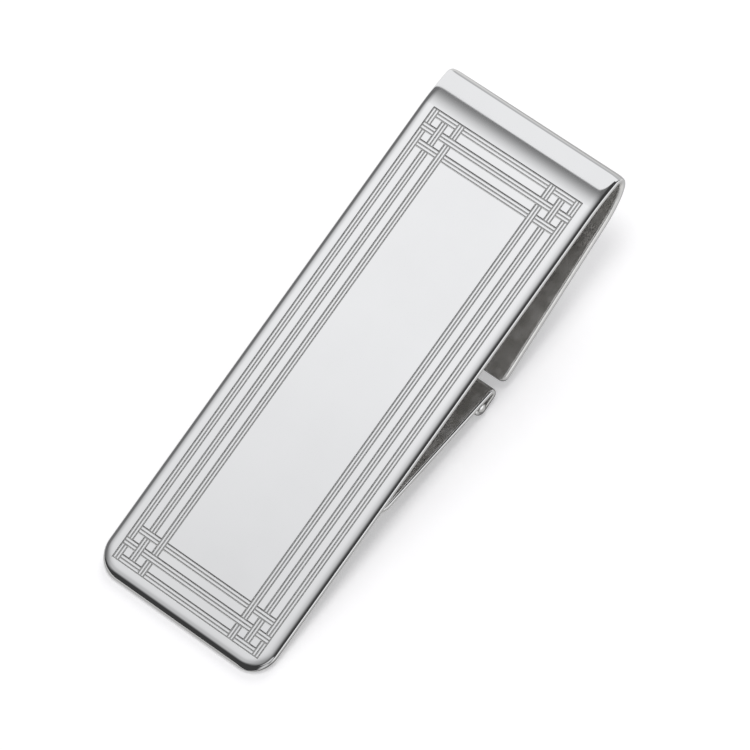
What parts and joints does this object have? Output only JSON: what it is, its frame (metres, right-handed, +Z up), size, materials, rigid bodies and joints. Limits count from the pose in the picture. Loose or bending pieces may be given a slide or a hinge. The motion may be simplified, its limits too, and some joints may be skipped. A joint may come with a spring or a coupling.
{
  "type": "hinged money clip",
  "caption": "Folded sheet-metal money clip with a sprung hinged clamp arm on its back and an engraved woven-bar border on its face.",
  "frame": {"origin": "middle of the underside of the bounding box, on the table that the clip lies on, on its back and face up", "axes": "+X across the clip, +Y along it towards the folded end, +Z up from the table; the face leans 9.35 degrees from level"},
  "size_m": [0.0192, 0.05, 0.0084],
  "materials": {
    "polished_plate": "mirror polished, rhodium or silver plated",
    "polished_pin": "polished wire",
    "spring_wire": "drawn spring wire"
  },
  "bodies": {
    "body": {"folded_body": "polished_plate", "hinge_spring": "spring_wire"},
    "arm": {"clamp_arm": "polished_plate", "hinge_pin": "polished_pin"}
  },
  "joints": [
    {"name": "arm_hinge", "type": "hinge", "parent": "body", "child": "arm", "pos_m": [0, 0.00397, 0.00097], "axis": [1, 0, 0], "range_deg": [0, 100], "stiffness_Nm_per_rad": 0.0018, "springref_deg": -68.75, "deforming": ["hinge_spring"]}
  ]
}
